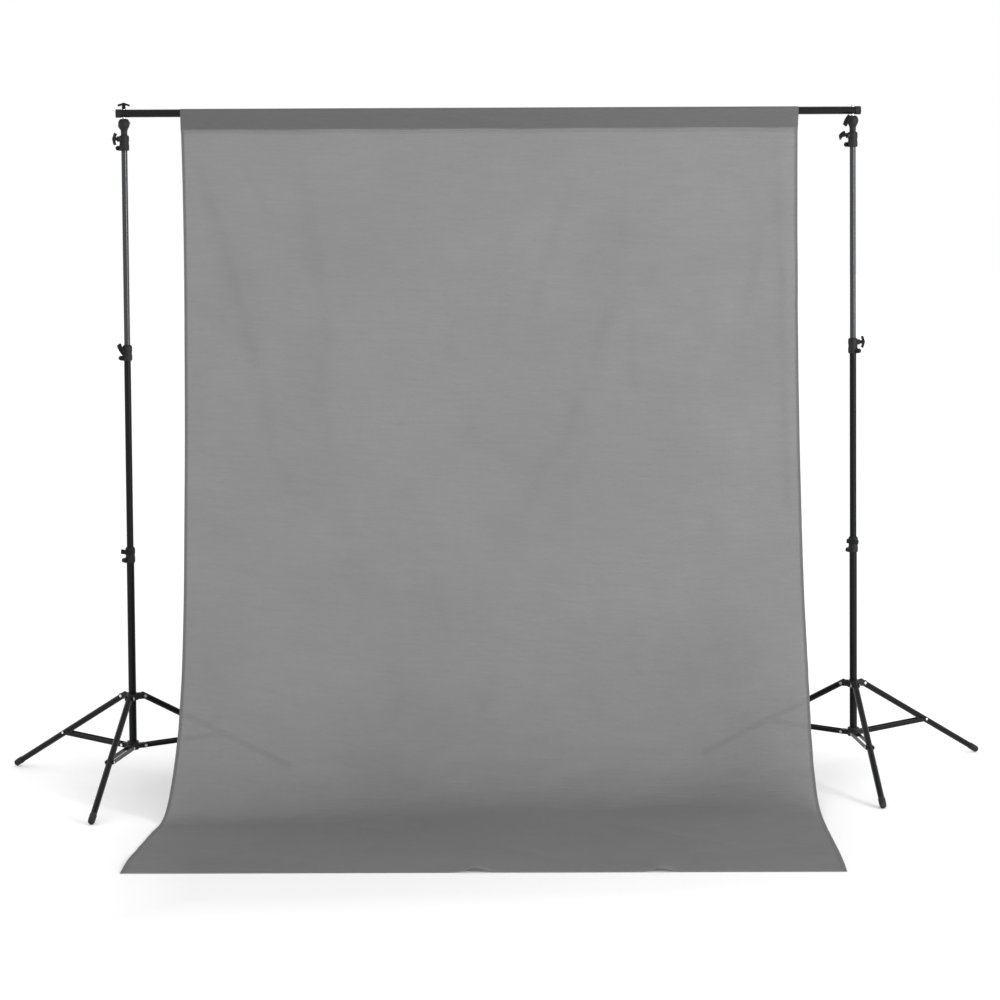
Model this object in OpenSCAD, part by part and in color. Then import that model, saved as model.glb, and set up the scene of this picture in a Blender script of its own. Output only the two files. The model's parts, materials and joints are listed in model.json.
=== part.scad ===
// Background support system: two four-section folding light stands, a crossbar
// in three plug-together sections, and a cloth backdrop with a sewn pole pocket.
// The cloth hangs from the bar and sweeps out over the floor towards -Y.
// +X runs along the crossbar, +Z is up, and the origin is on the floor under the
// middle of the whole object's bounding box.

/* [Crossbar] */
// Distance between the two studs that carry the crossbar
stud_span = 2160; // [2000:5:2400]
// Height of the crossbar's axis above the floor
bar_z = 1988; // [1988:1:2005]
// Outer diameter of the crossbar
bar_d = 23; // [21:0.5:26]
// How far the crossbar's tube runs past each stud
bar_overhang = 20.4; // [18:0.2:40]
// Wall of the crossbar's tubes
bar_wall = 1; // [0.8:0.1:1.6]
// Length of each spigot that plugs one section into the next
spigot_len = 60; // [40:5:80]

/* [Stand masts] */
// Outer diameters of the four sections, from the base up
section_d = [22.5, 20, 18, 16];
// Gap between each section and the one that slides in it
section_gap = 0.3; // [0.25:0.05:0.35]
// Heights of the three clamp collars' centres
collar_z = [686, 1284, 1901];
// Height of each clamp collar
collar_h = 44; // [44:1:46]
// Outer diameter of each clamp collar
collar_d = 29; // [28:0.5:32]
// How much of each section stays inside the one below
section_overlap = 60; // [40:5:80]

/* [Legs] */
// Distance from the mast's axis to the centre of each foot's round end
foot_reach = 490; // [475:5:540]
// Height of the leg pivots on the sliding hub
leg_pivot_z = 265; // [258:0.5:275]
// Height of the brace pivots on the fixed hub
brace_pivot_z = 117; // [112:1:119]
// Distance from the mast's axis to the leg and brace pivots
pivot_reach = 36; // [34:0.5:40]
// Outer diameter of the leg tubes
leg_d = 18; // [16:0.5:18]
// Outer diameter of the rubber feet
foot_d = 19.6; // [19.6:0.2:22]
// Distance along each leg from its pivot to its brace
brace_at = 280; // [270:1:284]
// Height and thickness of the flat brace bars
brace_bar = [12, 2];
// Directions of the left stand's front, inner and outer legs
left_leg_angles = [-98, 22, 142];
// Directions of the right stand's front, outer and inner legs
right_leg_angles = [-92, 28, 148];

/* [Knobs] */
// Length of a knob's wing
wing_len = 36; // [30:1:40]
// Width and thickness of a knob's wing
wing_section = [13, 5.5];
// Diameter of a knob's screw
screw_d = 6; // [5:0.5:6.5]
// Directions of the left stand's collar knobs, from the lowest up
left_knob_angles = [-105, 240, 205];
// Directions of the right stand's collar knobs, from the lowest up
right_knob_angles = [-105, 0, 197];
// Turns of the left stand's wings away from upright, from the lowest up
left_wing_turns = [84, 35, -15];
// Turns of the right stand's wings away from upright, from the lowest up
right_wing_turns = [84, 0, -67];

/* [Backdrop] */
// Width of the cloth
cloth_w = 1830; // [1500:10:1900]
// Thickness that stands for the cloth
cloth_t = 1.5; // [1:0.5:4]
// Distance from the bar's axis down to the pocket's seam
pocket_drop = 48; // [44:1:60]
// Distance from the bar to where the cloth meets the floor
sweep_start = 470; // [420:5:480]
// Where the cloth's left front corner lies, along the bar and forwards
left_corner = [-1014, 1015];
// Where its right front corner lies
right_corner = [829, 1147];

/* [Hidden] */
$fn = 48;

LEFT = 0;
RIGHT = 1;
stud_x = [-stud_span / 2, stud_span / 2];
leg_angles = [left_leg_angles, right_leg_angles];
knob_angles = [left_knob_angles, right_knob_angles];
wing_turns = [left_wing_turns, right_wing_turns];

// Running clearances: a screw or pin in its hole, a sliding collar on its tube,
// and the side gap between faces that swing past each other
pin_gap = 0.05;
slide_gap = 0.1;
side_gap = 0.3;

// Mast
section_r = section_d / 2;
collar_r = collar_d / 2;
base_foot_z = 112;
boss_r = 8;
boss_reach = 20.5;
boss_rise = 12;
lug_reach = 25.5;
lug_t = 12;
lug_h = 14;
lug_drop = 14.5;
lug_turn = -45;
slit_w = 2;
lug_bolt_r = 2.5;
screw_r = screw_d / 2;
collar_waist = 0.8;
collar_band_h = 14;
collar_band_in = 3;
tube_in_collar = 3;
tube_in_head = 28;
top_tube_rise = 26;
top_tube_wall = 1;

// Head and stud
head_z = collar_z[2] + collar_h / 2 + 1;
head_foot_r = 9.5;
head_r = 17;
head_neck_h = 10;
head_flare_h = 23;
head_dome_h = 15;
head_top_r = 8;
head_top_z = head_z + head_neck_h + head_flare_h + head_dome_h;
stud_r = 4;
stud_foot_z = head_top_z - 20;
stud_hole_h = 40;
stud_past_bar = 4.5;
stud_top_z = bar_z + bar_d / 2 + stud_past_bar;
stud_shoulder_r = 5.5;
stud_shoulder_h = 2.2;
stud_knob_z = head_z + head_neck_h + head_flare_h;
stud_knob_angles = [95, 220];
stud_wing_turns = [60, -35];

// Leg linkage, in the upright plane through the mast: [distance out, height]
foot_r = foot_d / 2;
leg_r = leg_d / 2;
leg_wall = 1.2;
leg_pivot = [pivot_reach, leg_pivot_z];
brace_pivot = [pivot_reach, brace_pivot_z];
foot_centre = [foot_reach, foot_r];
leg_len = norm(foot_centre - leg_pivot);
leg_way = (foot_centre - leg_pivot) / leg_len;
leg_slope = atan2(leg_way[1], leg_way[0]);
brace_joint = leg_pivot + leg_way * brace_at;
brace_len = norm(brace_joint - brace_pivot);
brace_slope = atan2(brace_joint[1] - brace_pivot[1], brace_joint[0] - brace_pivot[0]);
leg_end_past_pivot = 8;
foot_sleeve = 26;
foot_edge = 0.5;
foot_sole = 4;
pivot_pin_r = 2.5;
pin_head_r = 4.5;
pin_head_h = 1.8;
hub_r = 17;
hub_h = 20;
hub_floor = 5;
pivot_bore = 40;
cheek_in = leg_r + side_gap;
cheek_t = 3;
cheek_h = 16;
tongue_half = leg_r + 0.1;
tongue_h = 14;
bar_in = tongue_half + side_gap;
bar_out = bar_in + brace_bar[1];

// Knob
wing_bend_r = 40;
wing_half_angle = asin((wing_len / 2) / (wing_bend_r + wing_section[1] / 2));
knob_wing_at = 31;
stud_wing_at = 28;
bar_wing_at = 26.5;
wing_cap = 4.5;
// How far each knob is backed off, from the lowest up, left stand then right
backed_off = [[0, 0, 0], [0, 0, 7]];
knob_stem_r = 5;
stem_gap = 0.8;
bar_knob_stem_r = 5.5;
bar_knob_gap = 0.5;

// Crossbar
bar_r = bar_d / 2;
bar_in_r = bar_r - bar_wall;
bar_half = stud_span / 2 + bar_overhang;
bar_third = bar_half / 3;
spigot_wall = 1.2;
cap_len = 16;
cap_t = 1;
cap_end = 3;

// Backdrop, in the upright plane across the bar: [distance towards -Y, height]
pocket_wall = 1.6;
pocket_gap = 0.8;
pocket_in_r = bar_r + pocket_gap;
pocket_r = pocket_in_r + pocket_wall;
pocket_in_drop = pocket_drop - 8;
seam_h = 14;
seam_z = bar_z - pocket_drop;
sweep_steps = 28;
sweep_curve = [[0, seam_z], [8, 560], [85, cloth_t / 2], [sweep_start, cloth_t / 2]];
floor_lap = 1;

// The point under the middle of the whole object's box
feet_x = [for (s = [LEFT, RIGHT], a = leg_angles[s]) stud_x[s] + foot_reach * cos(a)];
feet_y = [for (s = [LEFT, RIGHT], a = leg_angles[s]) foot_reach * sin(a)];
middle_x = (min(feet_x) + max(feet_x)) / 2;
middle_y = (max(feet_y) + foot_r - max(left_corner[1], right_corner[1])) / 2;

function bezier(p, t) =
    pow(1 - t, 3) * p[0] + 3 * pow(1 - t, 2) * t * p[1]
    + 3 * (1 - t) * t * t * p[2] + pow(t, 3) * p[3];
function bezier_way(p, t) =
    let (d = pow(1 - t, 2) * (p[1] - p[0]) + 2 * (1 - t) * t * (p[2] - p[1])
        + t * t * (p[3] - p[2]))
    d / norm(d);
function beside(p, t, by) =
    let (way = bezier_way(p, t)) bezier(p, t) + by * [-way[1], way[0]];

// A round head with a tail that narrows to a point straight below it
function teardrop(r, drop) =
    let (lean = asin(r / drop))
    concat([[0, -drop]], [for (i = [0 : 24]) let (a = -lean + i * (180 + 2 * lean) / 24)
        [r * cos(a), r * sin(a)]]);

// Places

module on_floor() {
    translate([-middle_x, -middle_y, 0]) children();
}

module at_stand(side) {
    on_floor() translate([stud_x[side], 0, 0]) children();
}

// Turns the plane of a leg's linkage, drawn in X (out) and Y (up), to stand upright
module in_leg_plane(side, leg) {
    at_stand(side) rotate([0, 0, leg_angles[side][leg]]) rotate([90, 0, 0]) children();
}

module along_bar(x, len, r) {
    translate([x, 0, bar_z]) rotate([0, 90, 0]) cylinder(h = len, r = r);
}

module upright_section(z0, z1, r, wall) {
    translate([0, 0, z0]) difference() {
        cylinder(h = z1 - z0, r = r);
        translate([0, 0, -1]) cylinder(h = z1 - z0 + 2, r = r - wall);
    }
}

// Mast

// The four telescoping sections; each one's wall leaves room for the next
module section(side, level) {
    low = level == 0 ? base_foot_z
        : level == 3 ? collar_z[1] + top_tube_rise
        : collar_z[level - 1] - section_overlap;
    high = level == 3 ? head_z + tube_in_head : collar_z[level] + tube_in_collar;
    wall = level == 3 ? top_tube_wall : section_r[level] - section_r[level + 1] - section_gap;
    color("#24252a") at_stand(side) upright_section(low, high, section_r[level], wall);
}

// A split clamp casting: its foot grips one section and its boss screw the next
module collar(side, level) {
    knob_turn = knob_angles[side][level];
    color("#1b1b1d") at_stand(side) translate([0, 0, collar_z[level]]) difference() {
        union() {
            translate([0, 0, -collar_h / 2]) cylinder(h = collar_h, r = collar_r - collar_waist);
            translate([0, 0, collar_band_in - collar_h / 2]) cylinder(h = collar_band_h, r = collar_r);
            translate([0, 0, collar_h / 2 - collar_band_in - collar_band_h])
                cylinder(h = collar_band_h, r = collar_r);
            rotate([0, 0, knob_turn]) translate([0, 0, boss_rise])
                rotate([0, 90, 0]) cylinder(h = boss_reach, r = boss_r);
            rotate([0, 0, knob_turn + lug_turn]) translate([0, 0, -lug_drop]) {
                translate([0, -lug_t / 2, -lug_h / 2])
                    cube([lug_reach - lug_h / 2, lug_t, lug_h]);
                translate([lug_reach - lug_h / 2, lug_t / 2, 0]) rotate([90, 0, 0])
                    cylinder(h = lug_t, r = lug_h / 2);
            }
        }
        translate([0, 0, -collar_h]) cylinder(h = collar_h + tube_in_collar, r = section_r[level]);
        cylinder(h = collar_h, r = section_r[level + 1] + slide_gap);
        rotate([0, 0, knob_turn]) translate([0, 0, boss_rise])
            rotate([0, 90, 0]) cylinder(h = boss_reach + 1, r = screw_r + pin_gap);
        rotate([0, 0, knob_turn + lug_turn]) translate([0, 0, -lug_drop]) {
            translate([section_r[level] - 1, -slit_w / 2, -lug_h])
                cube([lug_reach, slit_w, lug_h * 1.6]);
            translate([lug_reach - lug_h / 2, lug_t, 0]) rotate([90, 0, 0])
                cylinder(h = 2 * lug_t, r = lug_bolt_r);
        }
    }
}

// A winged screw along +X: the screw's tip, its stem and its bowed wing
module wing_screw(tip, stem_from, wing_at, turn) {
    bend_at = wing_at - wing_bend_r;
    rotate([turn, 0, 0]) union() {
        translate([tip, 0, 0]) rotate([0, 90, 0]) cylinder(h = wing_at - tip, r = screw_r);
        translate([stem_from, 0, 0]) rotate([0, 90, 0])
            cylinder(h = wing_at + wing_cap - stem_from, r = knob_stem_r);
        bowed_wing(bend_at);
    }
}

module bowed_wing(bend_at) {
    translate([bend_at, 0, 0]) rotate([90, 0, 0]) rotate([0, 0, -wing_half_angle])
        rotate_extrude(angle = 2 * wing_half_angle)
            translate([wing_bend_r - wing_section[1] / 2, -wing_section[0] / 2])
                square([wing_section[1], wing_section[0]]);
}

module collar_knob(side, level) {
    back = backed_off[side][level];
    color("#161617") at_stand(side) translate([0, 0, collar_z[level] + boss_rise])
        rotate([0, 0, knob_angles[side][level]])
            wing_screw(section_r[level + 1] + side_gap + back, boss_reach + side_gap + back,
                knob_wing_at + back, wing_turns[side][level]);
}

// Head

// Pear-shaped moulding on the top section, with a socket for the stud
module head(side) {
    flare = [for (i = [0 : 8]) [head_foot_r + (head_r - head_foot_r) * (1 - cos(22.5 * i)) / 2,
        head_neck_h + head_flare_h * i / 8]];
    dome = [for (i = [1 : 8]) [head_top_r + (head_r - head_top_r) * cos(11.25 * i),
        head_neck_h + head_flare_h + head_dome_h * sin(11.25 * i)]];
    color("#1b1b1d") at_stand(side) difference() {
        translate([0, 0, head_z]) rotate_extrude()
            polygon(concat([[0, 0], [head_foot_r, 0]], flare, dome,
                [[0, head_top_z - head_z]]));
        translate([0, 0, head_z - 1]) cylinder(h = tube_in_head + 1, r = section_r[3]);
        translate([0, 0, stud_foot_z]) cylinder(h = stud_hole_h, r = stud_r);
        translate([0, 0, stud_knob_z]) rotate([0, 0, stud_knob_angles[side]])
            rotate([0, 90, 0]) cylinder(h = head_r + 5, r = screw_r + pin_gap);
    }
}

module stud(side) {
    color("#c9cbce") at_stand(side) union() {
        translate([0, 0, stud_foot_z]) cylinder(h = stud_top_z - stud_foot_z, r = stud_r);
        translate([0, 0, head_top_z]) cylinder(h = stud_shoulder_h, r = stud_shoulder_r);
    }
}

module stud_knob(side) {
    color("#161617") at_stand(side) translate([0, 0, stud_knob_z])
        rotate([0, 0, stud_knob_angles[side]])
            wing_screw(stud_r + side_gap, head_r + stem_gap, stud_wing_at, stud_wing_turns[side]);
}

// Leg base

module leg_hub(side) {
    color("#1b1b1d") at_stand(side) difference() {
        union() {
            translate([0, 0, leg_pivot_z - hub_h / 2]) cylinder(h = hub_h, r = hub_r);
            for (a = leg_angles[side], edge = [-1, 1])
                rotate([0, 0, a]) translate([0, edge * (cheek_in + cheek_t / 2), leg_pivot_z])
                    rotate([90, 0, 0]) translate([0, 0, -cheek_t / 2]) cheek();
        }
        translate([0, 0, leg_pivot_z - hub_h]) cylinder(h = 2 * hub_h, r = section_r[0] + slide_gap);
        for (a = leg_angles[side])
            rotate([0, 0, a]) translate([pivot_reach, 0, leg_pivot_z]) rotate([90, 0, 0])
                cylinder(h = pivot_bore, r = pivot_pin_r, center = true);
    }
}

module cheek() {
    linear_extrude(height = cheek_t) union() {
        translate([section_r[0] + 1, -cheek_h / 2])
            square([pivot_reach - section_r[0] - 1, cheek_h]);
        translate([pivot_reach, 0]) circle(r = cheek_h / 2);
    }
}

module brace_hub(side) {
    color("#1b1b1d") at_stand(side) difference() {
        union() {
            translate([0, 0, base_foot_z - hub_floor]) cylinder(h = hub_h + hub_floor, r = hub_r);
            for (a = leg_angles[side])
                rotate([0, 0, a]) translate([0, 0, brace_pivot_z]) rotate([90, 0, 0])
                    translate([0, 0, -tongue_half]) linear_extrude(height = 2 * tongue_half)
                        union() {
                            translate([0, -tongue_h / 2]) square([pivot_reach, tongue_h]);
                            translate([pivot_reach, 0]) circle(r = tongue_h / 2);
                        }
        }
        translate([0, 0, base_foot_z]) cylinder(h = 2 * hub_h, r = section_r[0]);
        for (a = leg_angles[side])
            rotate([0, 0, a]) translate([pivot_reach, 0, brace_pivot_z]) rotate([90, 0, 0])
                cylinder(h = pivot_bore, r = pivot_pin_r, center = true);
    }
}

// Three rivets at a hub's pivots, with a head on each end
module pivot_pins(side, z, head_from) {
    color("#b9bbbd") at_stand(side) for (a = leg_angles[side])
        rotate([0, 0, a]) translate([pivot_reach, 0, z]) rotate([90, 0, 0]) union() {
            cylinder(h = 2 * head_from, r = pivot_pin_r, center = true);
            for (end = [0, 1]) mirror([0, 0, end]) translate([0, 0, head_from])
                cylinder(h = pin_head_h, r = pin_head_r);
        }
}

module leg_pins(side) {
    pivot_pins(side, leg_pivot_z, cheek_in + cheek_t);
}

module brace_pins(side) {
    pivot_pins(side, brace_pivot_z, bar_out + side_gap);
}

// Draws along +X from a leg's pivot, in the plane of its linkage
module from_leg_pivot(side, leg) {
    in_leg_plane(side, leg) translate(leg_pivot) rotate([0, 0, leg_slope]) children();
}

module leg(side, leg) {
    color("#24252a") from_leg_pivot(side, leg) difference() {
        translate([-leg_end_past_pivot, 0, 0]) rotate([0, 90, 0])
            cylinder(h = leg_len + leg_end_past_pivot - foot_sole, r = leg_r);
        translate([-leg_end_past_pivot - 1, 0, 0]) rotate([0, 90, 0])
            cylinder(h = leg_len + leg_end_past_pivot, r = leg_r - leg_wall);
        cylinder(h = pivot_bore, r = pivot_pin_r + pin_gap, center = true);
    }
}

// Rubber tip: a sleeve over the leg's end with a round sole
module foot(side, leg) {
    sole = [for (i = [0 : 9]) foot_r * [cos(10 * i), sin(10 * i)]];
    color("#101011") from_leg_pivot(side, leg) translate([leg_len, 0, 0]) rotate([0, 90, 0])
        difference() {
            rotate_extrude() polygon(concat([[0, -foot_sleeve], [foot_r - foot_edge, -foot_sleeve],
                [foot_r, foot_edge - foot_sleeve]], sole));
            translate([0, 0, -foot_sleeve - 1]) cylinder(h = foot_sleeve + 1 - foot_sole, r = leg_r);
        }
}

// Two flat bars that straddle the leg, each with its rivet head at the leg's end
module brace(side, leg) {
    color("#1f2024") in_leg_plane(side, leg) translate(brace_pivot) rotate([0, 0, brace_slope])
        for (edge = [0, 1]) mirror([0, 0, edge]) translate([0, 0, bar_in]) union() {
            linear_extrude(height = brace_bar[1]) difference() {
                union() {
                    translate([0, -brace_bar[0] / 2]) square([brace_len, brace_bar[0]]);
                    for (x = [0, brace_len]) translate([x, 0]) circle(r = brace_bar[0] / 2);
                }
                circle(r = pivot_pin_r + pin_gap);
            }
            translate([brace_len, 0, 0]) cylinder(h = brace_bar[1] + pin_head_h, r = pin_head_r);
        }
}

// Crossbar

module bar_tube(x0, x1) {
    difference() {
        along_bar(x0, x1 - x0, bar_r);
        along_bar(x0 - 1, x1 - x0 + 2, bar_in_r);
    }
}

// A spigot that runs both ways from a joint, fixed in one section
module spigot(x) {
    difference() {
        along_bar(x - spigot_len / 2, spigot_len, bar_in_r);
        along_bar(x - spigot_len, 2 * spigot_len, bar_in_r - spigot_wall);
    }
}

module stud_hole(side) {
    translate([stud_x[side], 0, bar_z - bar_d]) cylinder(h = 2 * bar_d, r = stud_r + slide_gap);
}

module crossbar_left() {
    color("#1e1f23") on_floor() difference() {
        bar_tube(-bar_half, -bar_third);
        stud_hole(LEFT);
    }
}

module crossbar_middle() {
    color("#1e1f23") on_floor() union() {
        bar_tube(-bar_third, bar_third);
        spigot(-bar_third);
        spigot(bar_third);
    }
}

module crossbar_right() {
    color("#1e1f23") on_floor() difference() {
        bar_tube(bar_third, bar_half);
        stud_hole(RIGHT);
    }
}

module crossbar_caps() {
    color("#141415") on_floor() for (end = [0, 1]) mirror([end, 0, 0]) difference() {
        along_bar(bar_half + cap_end - cap_len, cap_len, bar_r + cap_t);
        along_bar(bar_half - cap_len, cap_len, bar_r);
    }
}

// Winged nut on the left stud, above the bar
module bar_knob() {
    nut_from = bar_r + bar_knob_gap;
    color("#161617") at_stand(LEFT) translate([0, 0, bar_z]) rotate([0, -90, 0]) difference() {
        union() {
            translate([nut_from, 0, 0]) rotate([0, 90, 0])
                cylinder(h = bar_wing_at + wing_cap - nut_from, r = bar_knob_stem_r);
            bowed_wing(bar_wing_at - wing_bend_r);
        }
        rotate([0, 90, 0]) cylinder(h = stud_top_z - bar_z + bar_knob_gap, r = stud_r + pin_gap);
    }
}

// Backdrop

// Turns an outline of [distance towards -Y, height] into a body along the bar
module across_cloth() {
    on_floor() translate([-cloth_w / 2, 0, 0]) rotate([90, 0, 90]) mirror([1, 0, 0])
        linear_extrude(height = cloth_w) children();
}

module backdrop_pocket() {
    color("#8f8f90") across_cloth() difference() {
        union() {
            translate([0, bar_z]) polygon(teardrop(pocket_r, pocket_drop));
            translate([-cloth_t / 2, seam_z]) square([cloth_t, seam_h]);
        }
        translate([0, bar_z]) polygon(teardrop(pocket_in_r, pocket_in_drop));
    }
}

// The cloth lies a little askew, so its part on the floor is drawn in plan
module floor_cloth() {
    half = cloth_w / 2;
    start = sweep_start - floor_lap;
    on_floor() mirror([0, 1, 0]) linear_extrude(height = cloth_t)
        polygon([[-half, start], left_corner, right_corner, [half, start]]);
}

module backdrop_sheet() {
    steps = [for (i = [0 : sweep_steps]) i / sweep_steps];
    front = [for (t = steps) beside(sweep_curve, t, cloth_t / 2)];
    back = [for (t = steps) beside(sweep_curve, 1 - t, -cloth_t / 2)];
    color("#a2a2a2") union() {
        across_cloth() polygon(concat(front, back));
        floor_cloth();
    }
}

section(LEFT, 0);  // left_base_tube
section(LEFT, 1);  // left_mid_tube
section(LEFT, 2);  // left_upper_tube
section(LEFT, 3);  // left_top_tube
collar(LEFT, 0);  // left_lower_collar
collar(LEFT, 1);  // left_middle_collar
collar(LEFT, 2);  // left_upper_collar
collar_knob(LEFT, 0);  // left_lower_knob
collar_knob(LEFT, 1);  // left_middle_knob
collar_knob(LEFT, 2);  // left_upper_knob
head(LEFT);  // left_head
stud(LEFT);  // left_stud
stud_knob(LEFT);  // left_stud_knob
leg_hub(LEFT);  // left_leg_hub
brace_hub(LEFT);  // left_brace_hub
leg_pins(LEFT);  // left_leg_pins
brace_pins(LEFT);  // left_brace_pins
leg(LEFT, 0);  // left_front_leg
leg(LEFT, 1);  // left_inner_leg
leg(LEFT, 2);  // left_outer_leg
foot(LEFT, 0);  // left_front_foot
foot(LEFT, 1);  // left_inner_foot
foot(LEFT, 2);  // left_outer_foot
brace(LEFT, 0);  // left_front_brace
brace(LEFT, 1);  // left_inner_brace
brace(LEFT, 2);  // left_outer_brace
section(RIGHT, 0);  // right_base_tube
section(RIGHT, 1);  // right_mid_tube
section(RIGHT, 2);  // right_upper_tube
section(RIGHT, 3);  // right_top_tube
collar(RIGHT, 0);  // right_lower_collar
collar(RIGHT, 1);  // right_middle_collar
collar(RIGHT, 2);  // right_upper_collar
collar_knob(RIGHT, 0);  // right_lower_knob
collar_knob(RIGHT, 1);  // right_middle_knob
collar_knob(RIGHT, 2);  // right_upper_knob
head(RIGHT);  // right_head
stud(RIGHT);  // right_stud
stud_knob(RIGHT);  // right_stud_knob
leg_hub(RIGHT);  // right_leg_hub
brace_hub(RIGHT);  // right_brace_hub
leg_pins(RIGHT);  // right_leg_pins
brace_pins(RIGHT);  // right_brace_pins
leg(RIGHT, 0);  // right_front_leg
leg(RIGHT, 1);  // right_outer_leg
leg(RIGHT, 2);  // right_inner_leg
foot(RIGHT, 0);  // right_front_foot
foot(RIGHT, 1);  // right_outer_foot
foot(RIGHT, 2);  // right_inner_foot
brace(RIGHT, 0);  // right_front_brace
brace(RIGHT, 1);  // right_outer_brace
brace(RIGHT, 2);  // right_inner_brace
crossbar_left();
crossbar_middle();
crossbar_right();
crossbar_caps();
bar_knob();
backdrop_pocket();
backdrop_sheet();
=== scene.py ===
"""Looks for the background support system: two light stands, a crossbar and a cloth backdrop."""
import json
import math

import bpy
import numpy as np
from mathutils import Matrix, Vector, noise


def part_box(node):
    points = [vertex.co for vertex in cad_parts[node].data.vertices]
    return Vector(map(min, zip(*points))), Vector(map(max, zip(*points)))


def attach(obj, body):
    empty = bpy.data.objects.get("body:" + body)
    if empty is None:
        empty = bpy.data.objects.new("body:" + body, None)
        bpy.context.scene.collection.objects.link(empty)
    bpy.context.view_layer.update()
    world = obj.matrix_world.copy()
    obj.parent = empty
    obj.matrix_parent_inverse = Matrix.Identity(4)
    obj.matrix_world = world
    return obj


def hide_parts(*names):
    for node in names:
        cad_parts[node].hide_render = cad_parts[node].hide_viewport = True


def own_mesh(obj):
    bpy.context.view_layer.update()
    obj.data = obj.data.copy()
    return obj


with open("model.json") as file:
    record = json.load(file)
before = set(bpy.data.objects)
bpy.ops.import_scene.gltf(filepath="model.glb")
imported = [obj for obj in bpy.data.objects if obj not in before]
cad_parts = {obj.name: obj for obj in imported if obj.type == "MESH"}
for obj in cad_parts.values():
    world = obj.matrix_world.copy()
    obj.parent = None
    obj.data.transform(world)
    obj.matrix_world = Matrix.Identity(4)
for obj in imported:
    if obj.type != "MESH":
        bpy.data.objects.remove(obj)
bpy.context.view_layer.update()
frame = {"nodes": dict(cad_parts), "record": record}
record = frame["record"]
slot_of_node = {p["node"]: p["material_slot"] for p in record["subparts"]}

# ---------------------------------------------------------------- places, in metres

STANDS = ("left", "right")
LEGS = {
    "left": {"front": -98.0, "inner": 22.0, "outer": 142.0},
    "right": {"front": -92.0, "outer": 28.0, "inner": 148.0},
}
KNOB_TURN = {"left": (-105.0, 240.0, 205.0), "right": (-105.0, 0.0, 197.0)}
LEVELS = ("lower", "middle", "upper")
CLAMP_BODY = {"lower": "base", "middle": "mid", "upper": "upper"}
NEXT_TUBE = {"lower": "mid", "middle": "upper", "upper": "top"}


def middle(node):
    low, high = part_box(node)
    return (low + high) / 2


AXIS = {s: middle(f"{s}_base_tube") for s in STANDS}
BAR_LOW, BAR_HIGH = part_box("crossbar_middle")
BAR_Z = (BAR_LOW.z + BAR_HIGH.z) / 2
BAR_R = (BAR_HIGH.z - BAR_LOW.z) / 2
BAR_Y = AXIS["left"].y
SPAN_X = (AXIS["left"].x + AXIS["right"].x) / 2
CLOTH_W = 1.830
POCKET_DROP = 0.048  # from the bar's axis to the pocket's seam
SEAM_Z = BAR_Z - POCKET_DROP
LOOP_R = BAR_R + 0.0011  # the pocket over the top of the bar
LOOP_EXTRA = 0.0013  # how much wider than high the pocket's loop is
LEG_PIVOT = (0.036, 0.265)  # outwards and up from the foot of the mast, as is FOOT
FOOT = (0.490, 0.0098)
LEG_R = 0.009
BRACE_AT = 0.280  # along the leg from its pivot
LEG_LEN = math.dist(LEG_PIVOT, FOOT)


# ---------------------------------------------------------------- material helpers

def new_material(name):
    mat = bpy.data.materials.new(name)
    mat.use_nodes = True
    tree = mat.node_tree
    tree.nodes.clear()
    out = tree.nodes.new("ShaderNodeOutputMaterial")
    bsdf = tree.nodes.new("ShaderNodeBsdfPrincipled")
    tree.links.new(bsdf.outputs[0], out.inputs[0])
    return mat, tree, bsdf, out


def node(tree, kind, values=None, **props):
    made = tree.nodes.new(kind)
    for key, value in props.items():
        setattr(made, key, value)
    for key, value in (values or {}).items():
        made.inputs[key].default_value = value
    return made


def coords(tree, scale=(1, 1, 1), source="Object"):
    tc = node(tree, "ShaderNodeTexCoord")
    mapping = node(tree, "ShaderNodeMapping", {"Scale": scale})
    tree.links.new(tc.outputs[source], mapping.inputs["Vector"])
    return mapping.outputs[0]


def noise_at(tree, where, scale, detail=3.0, rough=0.55):
    n = node(tree, "ShaderNodeTexNoise", {"Scale": scale, "Detail": detail, "Roughness": rough})
    tree.links.new(where, n.inputs["Vector"])
    return n.outputs["Fac"]


def remap(tree, value, low, high, to_low, to_high):
    m = node(tree, "ShaderNodeMapRange", {1: low, 2: high, 3: to_low, 4: to_high})
    tree.links.new(value, m.inputs[0])
    return m.outputs[0]


def blend_colour(tree, factor, a, b):
    """a and b are colours or sockets."""
    mix = node(tree, "ShaderNodeMix", data_type="RGBA")
    tree.links.new(factor, mix.inputs[0])
    for socket, value in ((6, a), (7, b)):
        if isinstance(value, tuple):
            mix.inputs[socket].default_value = (*value, 1)
        else:
            tree.links.new(value, mix.inputs[socket])
    return mix.outputs[2]


def add(tree, a, b, operation="ADD"):
    m = node(tree, "ShaderNodeMath", operation=operation)
    for i, value in enumerate((a, b)):
        if isinstance(value, (int, float)):
            m.inputs[i].default_value = value
        else:
            tree.links.new(value, m.inputs[i])
    return m.outputs[0]


def bump(tree, height, strength, distance, normal=None):
    b = node(tree, "ShaderNodeBump", {"Strength": strength, "Distance": distance})
    tree.links.new(height, b.inputs["Height"])
    if normal is not None:
        tree.links.new(normal, b.inputs["Normal"])
    return b.outputs[0]


def rounded(tree, radius):
    b = node(tree, "ShaderNodeBevel", {"Radius": radius}, samples=4)
    return b.outputs[0]


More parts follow.
